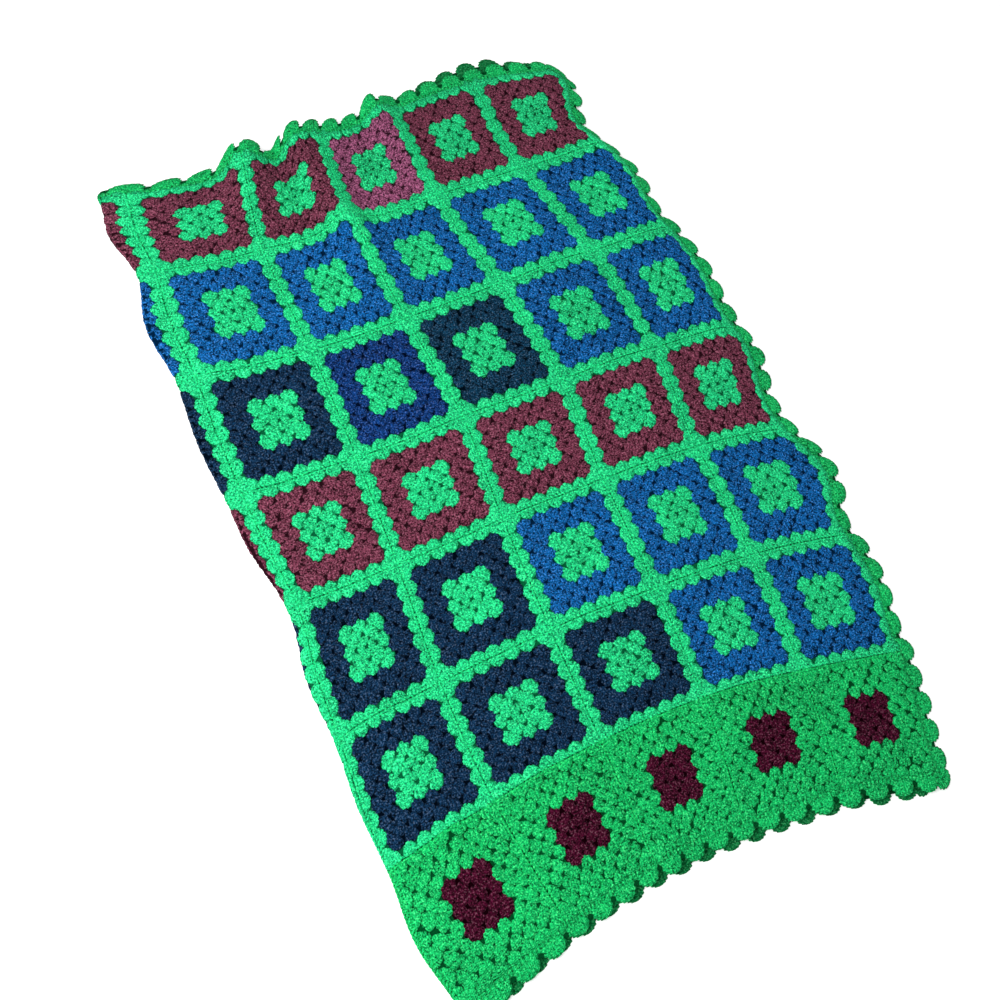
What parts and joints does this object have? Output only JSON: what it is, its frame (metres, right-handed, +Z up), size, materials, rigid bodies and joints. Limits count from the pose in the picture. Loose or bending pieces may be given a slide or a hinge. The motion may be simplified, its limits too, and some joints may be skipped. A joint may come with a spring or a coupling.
{
  "type": "granny square blanket",
  "caption": "Crocheted granny square blanket with a shell edging, folded once in half along its length and laid flat.",
  "frame": {"origin": "middle of the folded blanket's outline, on the surface that it lies on", "axes": "+X across the folded blanket, away from its fold; +Y along the fold, towards the far edge; +Z up"},
  "size_m": [0.8614, 1.308, 0.0515],
  "materials": {
    "green_yarn": "matte plied acrylic yarn, emerald green",
    "maroon_yarn": "matte plied acrylic yarn, maroon",
    "blue_yarn": "matte plied acrylic yarn, royal blue",
    "navy_yarn": "matte plied acrylic yarn, navy"
  },
  "bodies": {
    "root": {"joined_squares": "green_yarn", "shell_edging": "green_yarn"}
  },
  "joints": []
}
